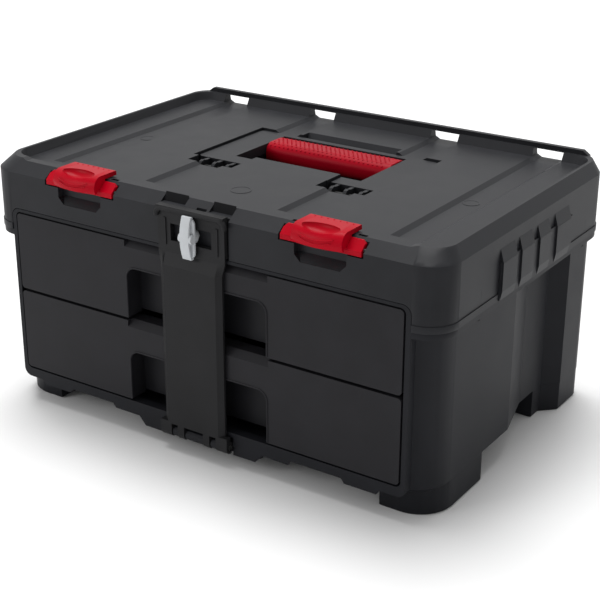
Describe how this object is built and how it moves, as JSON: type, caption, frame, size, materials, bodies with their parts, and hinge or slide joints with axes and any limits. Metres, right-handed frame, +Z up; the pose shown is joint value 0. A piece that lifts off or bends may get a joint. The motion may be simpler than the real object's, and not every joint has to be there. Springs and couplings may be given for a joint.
{
  "type": "drawer toolbox",
  "caption": "Stackable tool case with sliding organizer drawers behind a hinged lock bar, a tray top with a folding carry handle, and stacking latches.",
  "frame": {"origin": "on the ground under the middle of the whole box, the knob included", "axes": "+Z up, the drawers open towards -Y, +X to the right as seen from the front"},
  "size_m": [0.481, 0.3324, 0.2412],
  "materials": {
    "housing_plastic": "fine moulded grain, charcoal",
    "cover_plastic": "fine moulded grain, charcoal",
    "drawer_plastic": "fine moulded grain, charcoal",
    "tub_plastic": "smooth, charcoal",
    "bar_plastic": "fine moulded grain, charcoal",
    "divider_plastic": "smooth, charcoal",
    "red_plastic": "satin, red",
    "light_grey_plastic": "satin, light grey",
    "steel": "zinc-plated"
  },
  "bodies": {
    "housing": {"bar_hinge_pin": "steel", "body_shell": "housing_plastic", "cover_screws": "steel", "handle_pin_left": "steel", "handle_pin_right": "steel", "latch_pin_left": "steel", "latch_pin_right": "steel", "outer_rail_lower_left": "steel", "outer_rail_lower_right": "steel", "outer_rail_upper_left": "steel", "outer_rail_upper_right": "steel", "rail_screws": "steel", "top_cover": "cover_plastic"},
    "drawer_upper": {"drawer_front_upper": "drawer_plastic", "drawer_tub_upper": "tub_plastic", "drawer_screws_upper": "steel", "inner_rail_upper_left": "steel", "inner_rail_upper_right": "steel", "divider_long": "divider_plastic", "divider_short_left": "divider_plastic", "divider_short_right": "divider_plastic"},
    "drawer_lower": {"drawer_front_lower": "drawer_plastic", "drawer_tub_lower": "tub_plastic", "drawer_screws_lower": "steel", "inner_rail_lower_left": "steel", "inner_rail_lower_right": "steel", "divider_deep_left": "divider_plastic", "divider_deep_middle": "divider_plastic", "divider_deep_right": "divider_plastic"},
    "cages_upper": {"ball_cage_upper_left": "steel", "ball_cage_upper_right": "steel"},
    "cages_lower": {"ball_cage_lower_left": "steel", "ball_cage_lower_right": "steel"},
    "lock_bar": {"lock_bar": "bar_plastic"},
    "lock_knob": {"lock_knob": "light_grey_plastic", "knob_washer": "steel", "knob_screw": "steel"},
    "latch_left": {"latch_left": "red_plastic"},
    "latch_right": {"latch_right": "red_plastic"},
    "handle": {"handle_frame": "cover_plastic", "handle_grip": "red_plastic"}
  },
  "joints": [
    {"name": "lock_bar_swing", "type": "hinge", "parent": "housing", "child": "lock_bar", "pos_m": [0, -0.15565, 0.0186], "axis": [1, 0, 0], "range_deg": [0, 92]},
    {"name": "drawer_upper_slide", "type": "slide", "parent": "housing", "child": "drawer_upper", "axis": [0, -1, 0], "range_m": [0, 0.2]},
    {"name": "drawer_lower_slide", "type": "slide", "parent": "housing", "child": "drawer_lower", "axis": [0, -1, 0], "range_m": [0, 0.2]},
    {"name": "cages_upper_roll", "type": "slide", "parent": "housing", "child": "cages_upper", "axis": [0, -1, 0], "range_m": [0, 0.1]},
    {"name": "cages_lower_roll", "type": "slide", "parent": "housing", "child": "cages_lower", "axis": [0, -1, 0], "range_m": [0, 0.1]},
    {"name": "lock_knob_turn", "type": "hinge", "parent": "housing", "child": "lock_knob", "pos_m": [0, -0.15415, 0.2076], "axis": [0, -1, 0], "range_deg": [0, 90]},
    {"name": "latch_left_flip", "type": "hinge", "parent": "housing", "child": "latch_left", "pos_m": [-0.1263, -0.14935, 0.2276], "axis": [1, 0, 0], "range_deg": [0, 90]},
    {"name": "latch_right_flip", "type": "hinge", "parent": "housing", "child": "latch_right", "pos_m": [0.1263, -0.14935, 0.2276], "axis": [1, 0, 0], "range_deg": [0, 90]},
    {"name": "handle_fold", "type": "hinge", "parent": "housing", "child": "handle", "pos_m": [0, -0.02615, 0.221], "axis": [1, 0, 0], "range_deg": [0, 90]}
  ],
  "couplings": [
    {"joint": "lock_bar_swing", "follows": "drawer_upper_slide", "rad_per_m": 8.028},
    {"joint": "drawer_lower_slide", "follows": "drawer_upper_slide", "ratio": 0.3444},
    {"joint": "cages_upper_roll", "follows": "drawer_upper_slide", "ratio": 0.5},
    {"joint": "cages_lower_roll", "follows": "drawer_upper_slide", "ratio": 0.1722}
  ]
}
